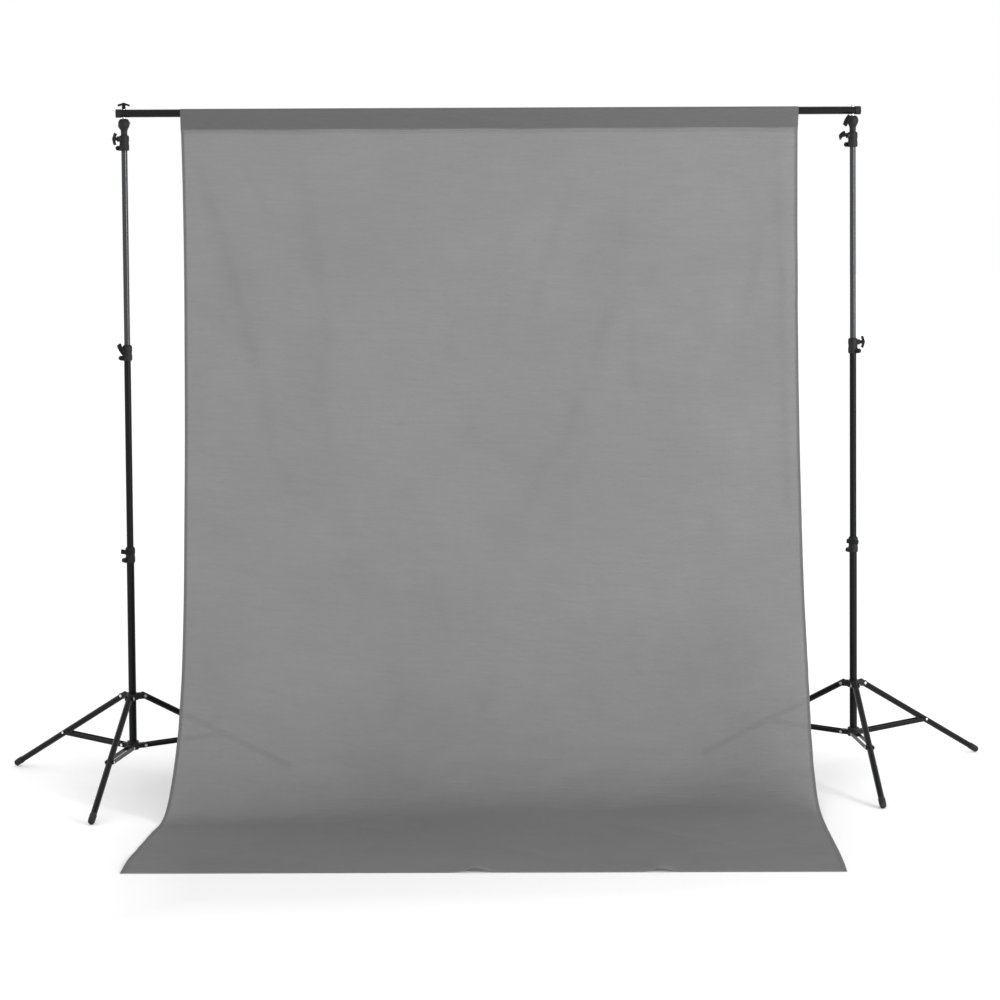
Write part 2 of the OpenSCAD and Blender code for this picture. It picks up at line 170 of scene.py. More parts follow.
def painted_metal(name, colour, worn, rough, shine):
    """Satin coat on drawn tube: faint draw lines, orange peel, handling scuffs."""
    mat, tree, bsdf, _ = new_material(name)
    here = coords(tree)
    tone = noise_at(tree, here, 7.0, 4.0)
    scuffs = noise_at(tree, coords(tree, (90, 90, 260)), 1.0, 6.0, 0.7)
    peel = noise_at(tree, here, 1500.0, 2.0)
    lines = noise_at(tree, coords(tree, (900, 900, 9)), 1.0, 3.0)
    scuff_mask = remap(tree, scuffs, 0.66, 0.74, 0.0, 0.55)
    light = tuple(c * 1.35 for c in colour)
    base = blend_colour(tree, tone, colour, light)
    base = blend_colour(tree, scuff_mask, base, worn)
    tree.links.new(base, bsdf.inputs["Base Color"])
    r = add(tree, remap(tree, tone, 0.3, 0.7, rough - 0.05, rough + 0.05),
            remap(tree, lines, 0.3, 0.7, -0.03, 0.04))
    r = add(tree, r, add(tree, scuff_mask, 0.25, "MULTIPLY"))
    tree.links.new(r, bsdf.inputs["Roughness"])
    height = add(tree, peel, add(tree, lines, 0.6, "MULTIPLY"))
    tree.links.new(bump(tree, height, 0.25, 0.00006, rounded(tree, 0.0005)), bsdf.inputs["Normal"])
    bsdf.inputs["Specular IOR Level"].default_value = shine
    return mat


def moulded_plastic(name, colour, rough, grain):
    """Fine sparked grain, slightly greyer where hands polish and dust sits."""
    mat, tree, bsdf, _ = new_material(name)
    here = coords(tree)
    cloudy = noise_at(tree, here, 38.0, 4.0)
    sparks = noise_at(tree, here, 1900.0, 3.0, 0.7)
    flow = noise_at(tree, coords(tree, (60, 60, 240)), 1.0, 3.0)
    dusty = tuple(c * 1.7 + 0.002 for c in colour)
    base = blend_colour(tree, remap(tree, cloudy, 0.4, 0.75, 0.0, 0.8), colour, dusty)
    base = blend_colour(tree, remap(tree, sparks, 0.35, 0.7, 0.0, 0.35), base, dusty)
    tree.links.new(base, bsdf.inputs["Base Color"])
    r = add(tree, remap(tree, cloudy, 0.3, 0.7, rough - 0.07, rough + 0.07),
            remap(tree, flow, 0.3, 0.7, -0.04, 0.04))
    tree.links.new(r, bsdf.inputs["Roughness"])
    tree.links.new(bump(tree, sparks, grain, 0.00012, rounded(tree, 0.0009)), bsdf.inputs["Normal"])
    bsdf.inputs["Specular IOR Level"].default_value = 0.16
    return mat


def rubber_material(name, colour):
    mat, tree, bsdf, _ = new_material(name)
    here = coords(tree)
    dust = noise_at(tree, here, 55.0, 5.0, 0.65)
    pits = noise_at(tree, here, 1300.0, 2.0)
    grey = tuple(c + 0.05 for c in colour)
    tree.links.new(blend_colour(tree, remap(tree, dust, 0.5, 0.8, 0.0, 0.7), colour, grey),
                   bsdf.inputs["Base Color"])
    tree.links.new(remap(tree, dust, 0.3, 0.7, 0.68, 0.86), bsdf.inputs["Roughness"])
    tree.links.new(bump(tree, pits, 0.35, 0.00015, rounded(tree, 0.0008)), bsdf.inputs["Normal"])
    bsdf.inputs["Specular IOR Level"].default_value = 0.3
    return mat


def plated_steel(name, colour):
    """Bright zinc plate with turning marks and a few dull spots."""
    mat, tree, bsdf, _ = new_material(name)
    here = coords(tree)
    spots = noise_at(tree, here, 260.0, 4.0, 0.6)
    turning = noise_at(tree, coords(tree, (80, 80, 2600)), 1.0, 2.0)
    dull = tuple(c * 0.55 for c in colour)
    tree.links.new(blend_colour(tree, remap(tree, spots, 0.55, 0.75, 0.0, 0.6), colour, dull),
                   bsdf.inputs["Base Color"])
    tree.links.new(add(tree, remap(tree, spots, 0.3, 0.75, 0.2, 0.42),
                       remap(tree, turning, 0.3, 0.7, -0.03, 0.05)), bsdf.inputs["Roughness"])
    tree.links.new(bump(tree, turning, 0.2, 0.00004, rounded(tree, 0.0004)), bsdf.inputs["Normal"])
    bsdf.inputs["Metallic"].default_value = 1.0
    return mat


def muslin(name, colour, lets_through, pocket_foot):
    """Plain weave with slubs in the weft, soft creases and a dusty, uneven dye. Light from behind
    shows through it, but hardly through the two-layer pocket, whose colour also carries painted shade."""
    mat, tree, bsdf, out = new_material(name)
    weave_at = coords(tree, (1, 1, 1), "UV")
    warp = node(tree, "ShaderNodeTexWave", {"Scale": 480.0, "Distortion": 1.2, "Detail": 1.0},
                wave_type="BANDS", bands_direction="X")
    weft = node(tree, "ShaderNodeTexWave", {"Scale": 430.0, "Distortion": 1.6, "Detail": 1.0},
                wave_type="BANDS", bands_direction="Y")
    for w in (warp, weft):
        tree.links.new(weave_at, w.inputs["Vector"])
    threads = add(tree, warp.outputs["Fac"], weft.outputs["Fac"])
    slubs = noise_at(tree, coords(tree, (14, 520, 1), "UV"), 1.0, 4.0, 0.6)
    warp_slubs = noise_at(tree, coords(tree, (480, 10, 1), "UV"), 1.0, 3.0, 0.6)
    cloudy = noise_at(tree, coords(tree, (2.2, 3.2, 1), "UV"), 1.0, 5.0, 0.6)
    streaks = noise_at(tree, coords(tree, (7, 95, 1), "UV"), 1.0, 4.0, 0.62)
    creases = noise_at(tree, coords(tree, (9, 26, 1), "UV"), 1.0, 6.0, 0.62)
    dark = tuple(c * 0.84 for c in colour)
    light = tuple(c * 1.12 for c in colour)
    base = blend_colour(tree, remap(tree, cloudy, 0.3, 0.7, 0.2, 0.8), dark, light)
    base = blend_colour(tree, remap(tree, streaks, 0.35, 0.7, 0.0, 0.4), base, dark)
    base = blend_colour(tree, remap(tree, slubs, 0.3, 0.72, 0.0, 0.45), base, light)
    base = blend_colour(tree, remap(tree, warp_slubs, 0.35, 0.75, 0.0, 0.22), base, dark)
    base = blend_colour(tree, remap(tree, threads, 0.2, 1.8, 0.16, 0.0), base, dark)
    height = node(tree, "ShaderNodeSeparateXYZ")
    tree.links.new(coords(tree), height.inputs[0])
    doubled_and_shade = remap(tree, height.outputs["Z"], pocket_foot - 0.001, pocket_foot + 0.001, 0.0, 0.9)
    # Painted shade: the pocket's colour is darkened for the backlight that its second layer and the bar
    # hold back
    base = blend_colour(tree, add(tree, doubled_and_shade, 0.55, "MULTIPLY"), base, dark)
    tree.links.new(base, bsdf.inputs["Base Color"])
    tree.links.new(remap(tree, slubs, 0.3, 0.7, 0.84, 0.95), bsdf.inputs["Roughness"])
    weave_bump = bump(tree, threads, 0.35, 0.0002)
    slub_bump = bump(tree, slubs, 0.5, 0.0006, weave_bump)
    streak_bump = bump(tree, streaks, 0.5, 0.0026, slub_bump)
    crease_bump = bump(tree, creases, 0.6, 0.009, streak_bump)
    tree.links.new(crease_bump, bsdf.inputs["Normal"])
    bsdf.inputs["Sheen Weight"].default_value = 0.12
    bsdf.inputs["Sheen Roughness"].default_value = 0.5
    bsdf.inputs["Specular IOR Level"].default_value = 0.2
    bsdf.inputs["Alpha"].default_value = 0.967
    through = node(tree, "ShaderNodeBsdfTranslucent")
    tree.links.new(blend_colour(tree, doubled_and_shade, base, (0.0, 0.0, 0.0)), through.inputs["Color"])
    tree.links.new(crease_bump, through.inputs["Normal"])
    mix = node(tree, "ShaderNodeMixShader", {"Fac": lets_through})
    tree.links.new(bsdf.outputs[0], mix.inputs[1])
    tree.links.new(through.outputs[0], mix.inputs[2])
    tree.links.new(mix.outputs[0], out.inputs[0])
    return mat


MATERIALS = {
    "tube_paint": painted_metal("satin_tube", (0.0040, 0.0042, 0.0050), (0.03, 0.03, 0.032), 0.30, 0.14),
    "crossbar_paint": painted_metal("satin_bar", (0.0045, 0.0046, 0.0055), (0.03, 0.03, 0.032), 0.33, 0.18),
    "brace_paint": painted_metal("coated_brace", (0.0050, 0.0052, 0.0060), (0.05, 0.05, 0.052), 0.40, 0.16),
    "black_plastic": moulded_plastic("moulded_collar", (0.0125, 0.0125, 0.0132), 0.48, 0.4),
    "knob_plastic": moulded_plastic("moulded_knob", (0.0040, 0.0040, 0.0045), 0.54, 0.5),
    "rubber": rubber_material("foot_rubber", (0.013, 0.013, 0.013)),
    "bright_steel": plated_steel("zinc_plate", (0.66, 0.66, 0.67)),
    "cloth": muslin("grey_muslin", (0.229, 0.229, 0.232), 0.43, SEAM_Z),
}

# The upper and top tubes get a lighter, glossier copy of the tube paint
SLIDING_TUBE = painted_metal("sliding_tube", (0.020, 0.021, 0.023), (0.07, 0.07, 0.073), 0.24, 0.42)

for name, obj in frame["nodes"].items():
    mat = MATERIALS[slot_of_node[name]]
    if name.endswith(("upper_tube", "top_tube")):
        mat = SLIDING_TUBE
    if not obj.material_slots:
        obj.data.materials.append(mat)
    for s in obj.material_slots:
        s.material = mat


# ---------------------------------------------------------------- mesh helpers

def mesh_object(name, verts, faces, slot, parent_body=None):
    mesh = bpy.data.meshes.new(name)
    mesh.from_pydata([tuple(v) for v in verts], [], faces)
    mesh.validate()
    mesh.update()
    for p in mesh.polygons:
        p.use_smooth = True
    obj = bpy.data.objects.new(name, mesh)
    bpy.context.scene.collection.objects.link(obj)
    mesh.materials.append(MATERIALS[slot])
    if parent_body:
        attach(obj, parent_body)
    return obj


def basis(z_dir, x_hint=(0, 0, 1)):
    """A rotation whose Z is z_dir."""
    z = Vector(z_dir).normalized()
    x = Vector(x_hint)
    if abs(x.normalized().dot(z)) > 0.95:
        x = Vector((1, 0, 0))
    x = (x - z * x.dot(z)).normalized()
    return Matrix((x, z.cross(x), z)).transposed()


class Parts:
    """Collects closed forms into one mesh."""

    def __init__(self):
        self.verts, self.faces = [], []

    def take(self, verts, faces, rot=None, at=(0, 0, 0)):
        base = len(self.verts)
        at = Vector(at)
        for v in verts:
            v = Vector(v)
            self.verts.append((rot @ v if rot is not None else v) + at)
        self.faces += [tuple(base + i for i in f) for f in faces]

    def lathe(self, profile, rot=None, at=(0, 0, 0), around=32, outline=None):
        """profile: [(radius, height)], closed to the axis at its ends where the radius is 0. outline
        gives the reach at an angle for a form that isn't round."""
        verts, faces = [], []
        rings = []
        for r, h in profile:
            if r < 1e-9:
                rings.append([len(verts)])
                verts.append((0, 0, h))
                continue
            ring = []
            for k in range(around):
                a = 2 * math.pi * k / around
                reach = r if outline is None else outline(a, r)
                ring.append(len(verts))
                verts.append((reach * math.cos(a), reach * math.sin(a), h))
            rings.append(ring)
        for a, b in zip(rings, rings[1:]):
            if len(a) == 1 and len(b) == 1:
                continue
            for k in range(around):
                n = (k + 1) % around
                if len(a) == 1:
                    faces.append((a[0], b[n], b[k]))
                elif len(b) == 1:
                    faces.append((a[k], a[n], b[0]))
                else:
                    faces.append((a[k], a[n], b[n], b[k]))
        self.take(verts, faces, rot, at)

    def ring(self, inner, outer, z0, z1, edge, rot=None, at=(0, 0, 0), around=40):
        """A flat collar ring with eased outer edges."""
        outline = [(inner, z0), (outer - edge, z0), (outer, z0 + edge), (outer, z1 - edge),
                   (outer - edge, z1), (inner, z1)]
        verts, faces = [], []
        n = len(outline)
        for k in range(around):
            a = 2 * math.pi * k / around
            verts += [(r * math.cos(a), r * math.sin(a), h) for r, h in outline]
        for k in range(around):
            m = (k + 1) % around
            for i in range(n):
                j = (i + 1) % n
                faces.append((k * n + i, m * n + i, m * n + j, k * n + j))
        self.take(verts, faces, rot, at)

    def made(self, name, slot, body, smooth_angle=35):
        obj = mesh_object(name, self.verts, self.faces, slot, body)
        obj.data.set_sharp_from_angle(angle=math.radians(smooth_angle))
        return obj


def hexagon(flat):
    """Turns a lathe's circle into a hexagon with softened corners."""
    def reach(a, r):
        local = (a + math.pi / 6) % (math.pi / 3) - math.pi / 6
        return min(r, flat / math.cos(local))
    return reach


# ---------------------------------------------------------------- the cloth

LEFT_SIDE = [  # forwards, height, along: the left edge from the seam to the front corner
    (0.001, 1.940, -0.914), (0.004, 1.75, -0.911), (0.010, 1.50, -0.910), (0.026, 1.25, -0.911),
    (0.062, 1.00, -0.911), (0.122, 0.76, -0.911), (0.188, 0.58, -0.910), (0.268, 0.42, -0.910),
    (0.325, 0.32, -0.912), (0.378, 0.22, -0.917), (0.425, 0.115, -0.929), (0.462, 0.034, -0.944),
    (0.510, 0.004, -0.9570), (0.600, 0.0025, -0.9720), (0.750, 0.0025, -0.9910),
    (0.900, 0.0025, -1.0070), (1.0165, 0.0015, -1.0150)]
RIGHT_SIDE = [
    (0.001, 1.940, 0.914), (0.002, 1.75, 0.9125), (0.004, 1.50, 0.912), (0.010, 1.25, 0.9125),
    (0.028, 1.00, 0.913), (0.058, 0.78, 0.913), (0.104, 0.56, 0.912), (0.158, 0.40, 0.910),
    (0.215, 0.27, 0.906), (0.285, 0.160, 0.899), (0.375, 0.072, 0.891), (0.465, 0.022, 0.883),
    (0.560, 0.004, 0.8740), (0.720, 0.0025, 0.8610), (0.880, 0.0025, 0.8500),
    (1.030, 0.0025, 0.8385), (1.1530, 0.0015, 0.8260)]
BETWEEN = [  # forwards, height: midway between the edges, where the cloth settles sooner
    (0.001, 1.940), (0.002, 1.75), (0.005, 1.50), (0.012, 1.25), (0.028, 1.00), (0.054, 0.78),
    (0.094, 0.56), (0.138, 0.40), (0.186, 0.27), (0.240, 0.170), (0.305, 0.088), (0.375, 0.036),
    (0.450, 0.010), (0.560, 0.003), (0.750, 0.0025), (0.930, 0.0025), (1.08475, 0.0015)]


def smooth_line(points, count):
    """Even points along a Catmull-Rom curve."""
    p = np.array(points, float)
    ext = np.vstack([2 * p[0] - p[1], p, 2 * p[-1] - p[-2]])
    fine = []
    for i in range(len(p) - 1):
        a, b, c, d = ext[i:i + 4]
        for t in np.linspace(0, 1, 24, endpoint=False):
            fine.append(0.5 * ((2 * b) + (c - a) * t + (2 * a - 5 * b + 4 * c - d) * t ** 2
                               + (3 * b - a - 3 * c + d) * t ** 3))
    fine.append(p[-1])
    fine = np.array(fine)
    run = np.concatenate([[0], np.cumsum(np.linalg.norm(np.diff(fine, axis=0), axis=1))])
    want = np.linspace(0, run[-1], count)
    return np.stack([np.interp(want, run, fine[:, k]) for k in range(fine.shape[1])], 1), run[-1]


def pocket_line(count_round=26, count_side=7):
    """The pocket's loop from the back of the seam, over the bar, to the front of the seam."""
    wide = LOOP_R + LOOP_EXTRA
    lean = math.asin(LOOP_R / POCKET_DROP)
    angles = np.linspace(-lean, math.pi + lean, count_round)
    arc = [(-wide * math.cos(a), BAR_Z + LOOP_R * math.sin(a)) for a in angles]
    tail = (-0.0012, SEAM_Z)
    up = [tuple(np.array(tail) + (np.array(arc[0]) - np.array(tail)) * t)
          for t in np.linspace(0, 1, count_side, endpoint=False)]
    down = [tuple(np.array(arc[-1]) + (np.array((0.001, SEAM_Z)) - np.array(arc[-1])) * t)
            for t in np.linspace(0, 1, count_side + 1)[1:]]
    hem = [(-0.0016, SEAM_Z - 0.003)]
    return np.array(hem + up + arc + down)


def gauss(x, centre, width):
    return math.exp(-0.5 * ((x - centre) / width) ** 2)


def ramp(x, low, high):
    t = min(1.0, max(0.0, (x - low) / (high - low)))
    return t * t * (3 - 2 * t)


SOFT_FOLDS = [  # points (u, height) down the fold's dark line, width, depth
    ([(0.039, 1.82), (0.072, 1.64), (0.111, 1.37)], 0.012, 0.0085),
    ([(0.111, 1.37), (0.143, 1.18), (0.149, 1.03), (0.181, 0.87)], 0.014, 0.0050),
    ([(0.210, 1.79), (0.226, 1.57), (0.246, 1.36)], 0.014, 0.0060),
    ([(0.246, 1.36), (0.232, 1.17), (0.257, 0.91), (0.279, 0.73)], 0.016, 0.0050),
    ([(0.112, 1.82), (0.151, 1.68)], 0.009, 0.0040),
    ([(0.631, 1.73), (0.597, 1.55), (0.579, 1.36)], 0.011, 0.0050),
    ([(0.729, 1.74), (0.718, 1.42)], 0.014, 0.0035),
    ([(0.702, 1.38), (0.677, 1.27), (0.636, 1.06)], 0.012, 0.0060),
    ([(0.620, 1.00), (0.587, 0.91), (0.554, 0.78)], 0.014, 0.0040),
    ([(0.734, 1.38), (0.742, 1.18)], 0.009, 0.0035),
    ([(0.948, 1.61), (0.922, 1.37)], 0.010, 0.0040),
    ([(0.975, 1.80), (0.981, 1.36), (0.985, 0.90)], 0.007, 0.0045),
    ([(0.486, 1.12), (0.470, 1.02)], 0.012, 0.0040),
    ([(0.405, 0.62), (0.425, 0.48)], 0.008, 0.0035),
    ([(0.372, 0.31), (0.338, 0.22)], 0.010, 0.0045),
    ([(0.500, 0.31), (0.474, 0.22)], 0.010, 0.0045),
]
CROSS_CREASES = [  # (u, height) at each end of a level crease, width, depth
    ((0.57, 0.130), (0.97, 0.095), 0.006, 0.0030),
    ((0.20, 0.060), (0.46, 0.050), 0.007, 0.0025),
    ((0.24, 1.515), (0.29, 1.512), 0.004, 0.0016),
    ((0.40, 0.255), (0.75, 0.245), 0.008, 0.0018),
]


def crease_profile(x, width):
    """Steep on one side of its line and a long easy slope on the other."""
    t = x / width
    return math.exp(-0.5 * t * t) if t < 0 else math.exp(-0.5 * (t / 3.5) ** 2)


def hang_depth(u, z):
    """How far the hanging cloth stands forward of a flat drop."""
    d = 0.0
    for points, width, depth in SOFT_FOLDS:
        top, foot = points[0][1], points[-1][1]
        span = top - foot
        if z > top + 0.35 * span or z < foot - 0.35 * span:
            continue
        fade = ramp(top + 0.35 * span - z, 0.0, 0.5 * span) * ramp(z - foot + 0.35 * span, 0.0, 0.5 * span)
        zs = [-p[1] for p in points]
        centre = float(np.interp(-z, zs, [p[0] for p in points]))
        if z > top:
            centre += (points[0][0] - points[1][0]) * (z - top) / (points[0][1] - points[1][1])
        if z < foot:
            centre += (points[-1][0] - points[-2][0]) * (foot - z) / (points[-2][1] - points[-1][1])
        centre += 0.0035 * noise.noise((z * 9.0, points[0][0] * 40.0, 1.7))
        uneven = 1.15 + 1.1 * noise.noise((z * 7.0, points[0][0] * 40.0, 6.0))
        d += depth * fade * uneven * crease_profile(u - centre, width)
    for (u0, z0), (u1, z1), width, depth in CROSS_CREASES:
        t = (u - u0) / (u1 - u0)
        if -0.15 < t < 1.15:
            at = z0 + (z1 - z0) * t + 0.004 * noise.noise((u * 16, 2.0, 9.0))
            d += depth * ramp(t, -0.15, 0.15) * (1 - ramp(t, 0.85, 1.15)) * gauss(z, at, width)
    free = ramp(SEAM_Z - z, 0.02, 0.5)
    d += 0.0060 * free * noise.noise((u * 5.2, z * 0.9, 3.1))
    d += 0.0032 * free * noise.noise((u * 14.0, z * 3.4, 7.7))
    d += 0.0011 * free * noise.noise((u * 30.0, z * 14.0, 2.9))
    d += 0.0008 * free * noise.noise((u * 26.0, z * 30.0, 5.3))
    low = ramp(0.55 - z, 0.0, 0.3)
    d += 0.0022 * low * math.sin(z * 95 + 6.6 * noise.noise((u * 6, 0.3, z * 3))) * (
        0.4 + 1.2 * abs(noise.noise((u * 4.4, 5.0, z * 2))))
    d += 0.004 * low * noise.noise((u * 9.0, z * 13.0, 1.4))
    return d


def floor_lift(u, y):
    """How far the cloth on the floor stands up from it."""
    broad = max(0.0, noise.noise((u * 5.5, y * 5.0, 12.0)) + 0.05)
    fine = max(0.0, noise.noise((u * 17, y * 15, 2.0)))
    ridge = 0.0
    for u0, u1, y0, y1, h in ((0.30, 0.42, 0.60, 0.74, 0.007), (0.70, 0.82, 0.66, 0.83, 0.008),
                              (0.10, 0.20, 0.80, 0.90, 0.006), (0.52, 0.60, 0.86, 0.97, 0.006)):
        t = (u - u0) / (u1 - u0)
        if -0.3 < t < 1.3:
            ridge += h * (1 - abs(2 * t - 1) * 0.5) * gauss(y, y0 + (y1 - y0) * t, 0.020)
    return 0.008 * broad + 0.002 * fine + ridge


ACROSS = 216
SWEEP_ROWS = 250


def make_cloth():
    left, left_len = smooth_line(LEFT_SIDE, SWEEP_ROWS)
    right, right_len = smooth_line(RIGHT_SIDE, SWEEP_ROWS)
    between, _ = smooth_line(BETWEEN, SWEEP_ROWS)
    drawn_in = between - (left[:, :2] + right[:, :2]) / 2
    loop = pocket_line()
    wave = [0.0011 * math.sin(u * 31) + 0.0014 * noise.noise((u * 22, 0.5, 0.5))
            for u in np.linspace(0, 1, ACROSS + 1)]
    rows, along = [], []
    run = 0.0
    for i, (fwd, z) in enumerate(loop):
        if i:
            run += math.dist(loop[i - 1], loop[i])
        row = []
        for k in range(ACROSS + 1):
            u = k / ACROSS
            near_seam = ramp(BAR_Z - z, 0.01, POCKET_DROP)
            sag = 0.0009 * noise.noise((u * 26, z * 18, 4.0 + (2 if fwd < 0 else 0)))
            row.append(((u - 0.5) * CLOTH_W, -fwd - sag * near_seam, z + wave[k] * near_seam))
        rows.append(row)
        along.append(run)
    first_free = len(rows)
    step = (left_len + right_len) / 2 / (SWEEP_ROWS - 1)
    for i in range(1, SWEEP_ROWS):
        run += step
        row = []
        for k in range(ACROSS + 1):
            u = k / ACROSS
            fwd, z, x = left[i] + (right[i] - left[i]) * u
            inside = ramp(u, 0.0, 0.30) * (1 - ramp(u, 0.75, 1.0))
            fwd, z = (fwd, z) + drawn_in[i] * inside
            z = max(z, 0.0015)
            t = i / (SWEEP_ROWS - 1)
            on_floor = ramp(0.05 - z, -0.02, 0.05)
            hang = hang_depth(u, z) * (1 - on_floor)
            lift = floor_lift(u, fwd) * on_floor * (1 - 0.75 * ramp(t, 0.985, 1.0))
            lift += 0.010 * ramp(t, 0.97, 1.0) * (gauss(u, 0.49, 0.012) + 0.8 * gauss(u, 0.745, 0.010))
            slope = ramp(z, 0.0, 0.35)
            seam_wave = wave[k] * (1 - ramp(t, 0.0, 0.06))
            row.append((x, -(fwd + hang * (0.35 + 0.65 * slope)),
                        max(0.0009, z + lift + hang * 0.6 * (1 - slope) + seam_wave)))
        rows.append(row)
        along.append(run)
    verts = [(SPAN_X + x, BAR_Y + y, z) for row in rows for x, y, z in row]
    width = ACROSS + 1
    faces = [(r * width + k, (r + 1) * width + k, (r + 1) * width + k + 1, r * width + k + 1)
             for r in range(len(rows) - 1) for k in range(ACROSS)]
    return rows, along, verts, faces, first_free


cloth_rows, cloth_along, verts, faces, FIRST_FREE = make_cloth()
cloth = mesh_object("backdrop_cloth", verts, faces, "cloth")


def set_uv(obj, width, across, along):
    """The weave's own coordinates: metres across the cloth and metres along it."""
    uv = obj.data.uv_layers.new(name="weave")
    for poly in obj.data.polygons:
        for li in poly.loop_indices:
            vi = obj.data.loops[li].vertex_index
            r, k = divmod(vi, width)
            uv.data[li].uv = (across[k], along[r])


set_uv(cloth, ACROSS + 1, [CLOTH_W * k / ACROSS for k in range(ACROSS + 1)], cloth_along)


def row_normals():
    """Unit normals of the cloth's grid, on no set side; BACKWARD turns them away from the camera."""
    p = np.array(cloth_rows, float)
    du = np.gradient(p, axis=1)
    dv = np.gradient(p, axis=0)
    n = np.cross(du, dv)
    return p, n / np.linalg.norm(n, axis=2, keepdims=True)


GRID, NORMALS = row_normals()
BACKWARD = NORMALS if NORMALS[FIRST_FREE + 40, ACROSS // 2, 1] > 0 else -NORMALS


def grid_strip(name, rows, cols, off):
    """A strip of a second layer of cloth, laid behind the first."""
    pts, strip_faces, across, along = [], [], [], []
    for r in rows:
        for c in cols:
            c0 = min(int(c), ACROSS - 1)
            f = c - c0
            p = GRID[r, c0] * (1 - f) + GRID[r, c0 + 1] * f
            n = BACKWARD[r, c0] * (1 - f) + BACKWARD[r, c0 + 1] * f
            q = p + n * off
            pts.append((SPAN_X + q[0], BAR_Y + q[1], max(q[2], 0.0003)))
    w = len(cols)
    for i in range(len(rows) - 1):
        for j in range(w - 1):
            a = i * w + j
            strip_faces.append((a, a + w, a + w + 1, a + 1))
    obj = mesh_object(name, pts, strip_faces, "cloth")
    set_uv(obj, w, [CLOTH_W * c / ACROSS for c in cols], [cloth_along[r] for r in rows])
    return obj


HEM_WIDTH = 0.0075
HEM_OFF = 0.0006
HEM = HEM_WIDTH / (CLOTH_W / ACROSS)  # in columns of the cloth's grid
free_rows = list(range(FIRST_FREE - 1, len(cloth_rows)))
hem_left = grid_strip("backdrop_hem_left", free_rows, [0.0, HEM / 2, HEM], HEM_OFF)
hem_right = grid_strip("backdrop_hem_right", free_rows, [ACROSS - HEM, ACROSS - HEM / 2, float(ACROSS)],
                       HEM_OFF)


def stitches(name, line, normals, pitch, length, radius):
    """A row of lockstitches along a line of points, each a small bowed thread."""
    line, normals = np.array(line), np.array(normals)
    run = np.concatenate([[0], np.cumsum(np.linalg.norm(np.diff(line, axis=0), axis=1))])
    parts = Parts()
    for at in np.arange(pitch / 2, run[-1] - length, pitch):
        pts = []
        for f in (0.0, 0.25, 0.5, 0.75, 1.0):
            s = at + length * f
            p = np.array([np.interp(s, run, line[:, k]) for k in range(3)])
            n = np.array([np.interp(s, run, normals[:, k]) for k in range(3)])
            pts.append(Vector(p + n * (radius * (0.3 + 1.5 * math.sin(math.pi * f)))))
        ring = []
        way = (pts[-1] - pts[0]).normalized()
        side = way.cross(Vector(normals[len(normals) // 2])).normalized()
        up = side.cross(way)
        for i, p in enumerate(pts):
            r = radius * (0.45 if i in (0, 4) else 1.0)
            ring.append([p + (side * math.cos(a) + up * math.sin(a)) * r
                         for a in (math.pi * 2 * k / 5 for k in range(5))])
        vs = [v for rr in ring for v in rr]
        fs = [(i * 5 + k, i * 5 + (k + 1) % 5, (i + 1) * 5 + (k + 1) % 5, (i + 1) * 5 + k)
              for i in range(4) for k in range(5)]
        fs += [tuple(range(4, -1, -1)), tuple(range(20, 25))]
        parts.take(vs, fs)
    return parts.made(name, "cloth", None, 60)


def grid_line(r, shift=0.0):
    row = GRID[r]
    out = [(SPAN_X + p[0], BAR_Y + p[1], p[2] + shift) for p in row]
    return out, -BACKWARD[r]


SEAM_PITCH, SEAM_STITCH, SEAM_THREAD = 0.0042, 0.0030, 0.00042
HEM_PITCH, HEM_STITCH, HEM_THREAD = 0.0065, 0.0045, 0.0004
seam_rows = [stitches(f"pocket_stitching_{name}", *grid_line(FIRST_FREE, shift),
                      SEAM_PITCH, SEAM_STITCH, SEAM_THREAD)
             for name, shift in (("upper", 0.0035), ("lower", -0.0015))]


def column_line(c):
    pts = [(SPAN_X + GRID[r, c, 0], BAR_Y + GRID[r, c, 1], GRID[r, c, 2])
           for r in range(FIRST_FREE, len(cloth_rows))]
    return pts, -BACKWARD[FIRST_FREE:, c]


side_stitches = [stitches(f"hem_stitching_{name}", *column_line(c), HEM_PITCH, HEM_STITCH, HEM_THREAD)
                 for name, c in (("left", 1), ("right", ACROSS - 1))]

CLOTH_EXTRAS = [hem_left, hem_right, *seam_rows, *side_stitches]
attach(cloth, "backdrop")
for extra in CLOTH_EXTRAS:
    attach(extra, "backdrop")
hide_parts("backdrop_pocket", "backdrop_sheet")

# Each cloth piece gets its own copy of its mesh
for piece in (cloth, *CLOTH_EXTRAS):
    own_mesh(piece)


# ---------------------------------------------------------------- clamp bolts and bushings

LUG_TURN = -45.0
LUG_R, LUG_DROP, LUG_HALF = 0.0185, 0.0145, 0.006

